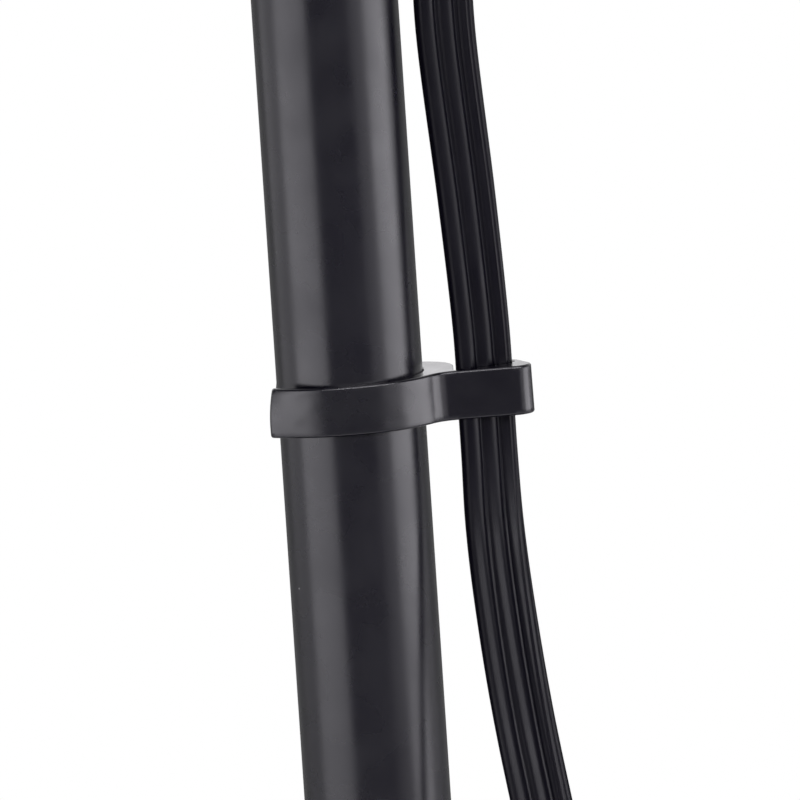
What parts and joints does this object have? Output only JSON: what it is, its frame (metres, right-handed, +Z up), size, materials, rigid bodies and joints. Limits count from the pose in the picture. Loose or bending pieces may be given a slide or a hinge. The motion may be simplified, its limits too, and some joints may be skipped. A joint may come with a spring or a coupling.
{
  "type": "pedestal fan",
  "caption": "Mains pedestal fan: round weighted base, telescopic pole, tilting and oscillating caged head, and a flat lead snapped to the pole by a clip.",
  "frame": {"origin": "bottom centre of the base, on the pole's axis, at the floor", "axes": "+Z up along the pole, -Y the way the air goes, +X the side with the lead"},
  "size_m": [0.4672, 0.4552, 1.1294],
  "materials": {
    "cast_weight": "rough cast",
    "base_paint": "satin powder coat",
    "foot_rubber": "matt",
    "black_plastic": "fine texture",
    "fastener_steel": "zinc plated",
    "pole_paint": "satin powder coat",
    "clip_plastic": "smooth moulded",
    "bush_nylon": "natural",
    "mast_chrome": "polished",
    "panel_plastic": "fine texture",
    "switch_plastic": "plain",
    "capacitor_case": "plain",
    "motor_alloy": "die cast",
    "core_steel": "laminated",
    "winding_copper": "enamelled wire",
    "bearing_bronze": "sintered",
    "guard_wire": "powder coat",
    "blade_plastic": "moulded",
    "lead_pvc": "soft, slightly glossy",
    "pin_brass": "plain"
  },
  "bodies": {
    "stand": {"base_weight": "cast_weight", "base_cover": "base_paint", "base_feet": "foot_rubber", "base_flange": "black_plastic", "flange_bolts": "fastener_steel", "pole_plug": "motor_alloy", "pole_bolt": "fastener_steel", "outer_pole": "pole_paint", "lead_clip": "clip_plastic", "collar_bush": "bush_nylon", "height_collar": "black_plastic", "lead_upper": "lead_pvc", "lead_lower": "lead_pvc", "lead_coil": "lead_pvc", "lead_tail": "lead_pvc", "lead_tie": "black_plastic", "plug_body": "lead_pvc", "plug_pins": "pin_brass"},
    "lock_screw": {"lock_knob": "black_plastic"},
    "mast": {"inner_pole": "mast_chrome", "mast_guide": "bush_nylon", "control_box": "black_plastic", "control_panel": "panel_plastic", "panel_screws": "fastener_steel", "speed_switch": "switch_plastic", "run_capacitor": "capacitor_case", "lead_gland": "black_plastic", "tilt_bolt": "fastener_steel"},
    "speed_dial": {"speed_knob": "black_plastic"},
    "tilt_clamp": {"tilt_knob": "black_plastic"},
    "tilt": {"tilt_neck": "black_plastic", "swivel_post": "fastener_steel", "swivel_washer": "bush_nylon"},
    "head": {"gearbox": "motor_alloy", "rear_bracket": "motor_alloy", "front_bracket": "motor_alloy", "stator_core": "core_steel", "stator_windings": "winding_copper", "rear_bearing": "bearing_bronze", "front_bearing": "bearing_bronze", "motor_screws": "fastener_steel", "motor_shell": "black_plastic", "guard_plate": "black_plastic", "guard_nut": "black_plastic", "rear_guard": "guard_wire", "front_guard": "guard_wire", "rim_clips": "black_plastic", "centre_badge": "panel_plastic"},
    "swing_pull": {"oscillation_knob": "black_plastic"},
    "blade_set": {"rotor": "core_steel", "motor_shaft": "fastener_steel", "drive_pin": "fastener_steel", "fan_blades": "blade_plastic", "spinner": "black_plastic"}
  },
  "joints": [
    {"name": "height_slide", "type": "slide", "parent": "stand", "child": "mast", "axis": [0, 0, 1], "range_m": [0, 0.2], "deforming": ["lead_upper"]},
    {"name": "lock_turn", "type": "hinge", "parent": "stand", "child": "lock_screw", "pos_m": [0, 0.0325, 0.5605], "axis": [0, 1, 0], "range_deg": [0, 360]},
    {"name": "speed_turn", "type": "hinge", "parent": "mast", "child": "speed_dial", "pos_m": [0, -0.0326, 0.719], "axis": [0, -1, 0], "range_deg": [-135, 0]},
    {"name": "tilt_clamp_turn", "type": "hinge", "parent": "mast", "child": "tilt_clamp", "pos_m": [-0.0223, 0, 0.794], "axis": [-1, 0, 0], "range_deg": [0, 360]},
    {"name": "tilt_hinge", "type": "hinge", "parent": "mast", "child": "tilt", "pos_m": [0, 0, 0.794], "axis": [1, 0, 0], "range_deg": [-30, 10]},
    {"name": "swing", "type": "hinge", "parent": "tilt", "child": "head", "pos_m": [0, 0, 0.8414], "axis": [0, 0, 1], "range_deg": [-40, 40]},
    {"name": "swing_pull_slide", "type": "slide", "parent": "head", "child": "swing_pull", "axis": [0, 0, 1], "range_m": [0, 0.01]},
    {"name": "blade_spin", "type": "hinge", "parent": "head", "child": "blade_set", "pos_m": [0, -0.1, 0.914], "axis": [0, -1, 0], "continuous": true}
  ]
}
